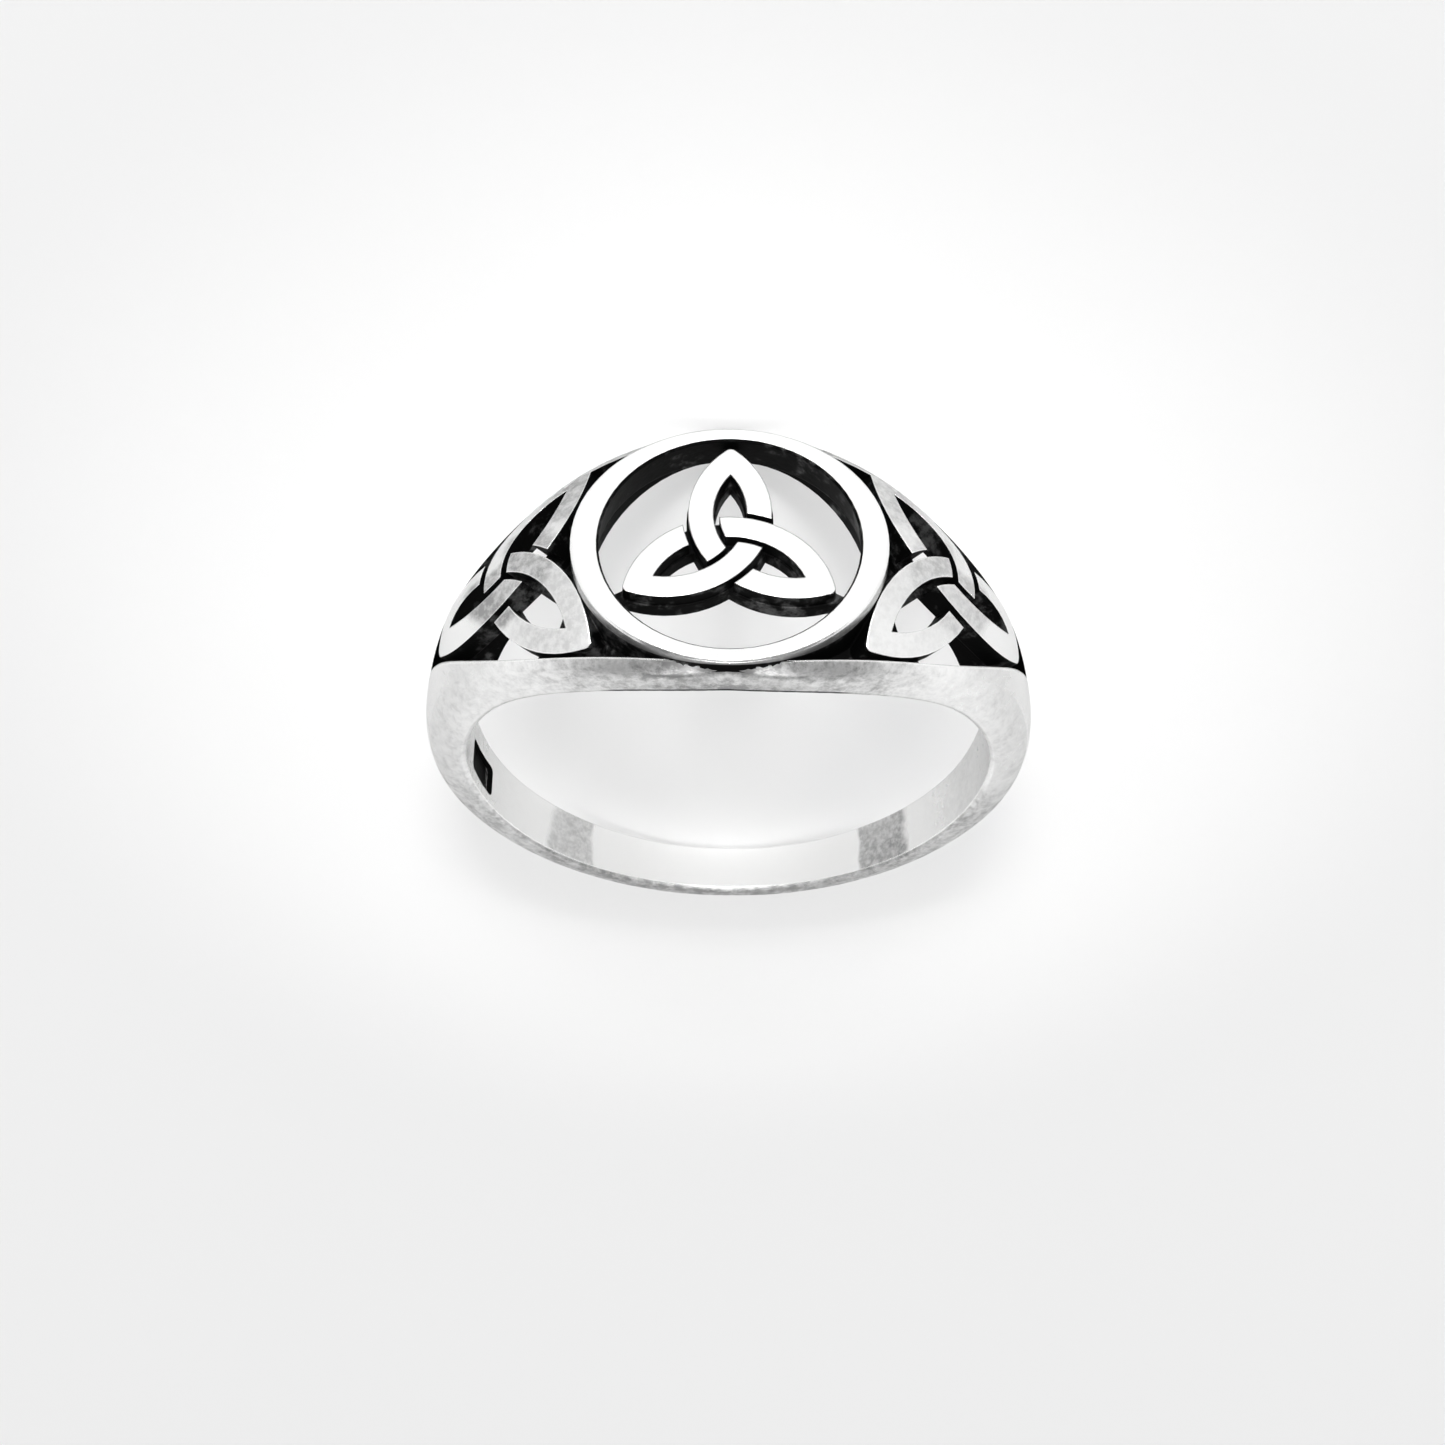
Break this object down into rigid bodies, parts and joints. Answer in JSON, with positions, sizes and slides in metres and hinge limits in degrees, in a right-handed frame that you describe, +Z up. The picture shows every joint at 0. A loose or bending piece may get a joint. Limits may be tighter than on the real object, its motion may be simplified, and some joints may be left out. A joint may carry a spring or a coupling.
{
  "type": "celtic knot finger ring",
  "caption": "Oxidised silver finger ring lying on its side, with a pierced trefoil knot in a round bezel and a knot on each tapering shoulder.",
  "frame": {"origin": "on the surface that the ring lies on, below the middle of its bounding box", "axes": "+Z up from the surface, the bezel towards -Y, the shank towards +Y, the shoulders towards +X and -X; the finger hole runs along +Z, leaning 11.9 degrees towards +Y"},
  "size_m": [0.0202, 0.0204, 0.0092],
  "materials": {
    "silver": "polished sterling silver with blackened recesses"
  },
  "bodies": {
    "root": {"ring": "silver"}
  },
  "joints": []
}
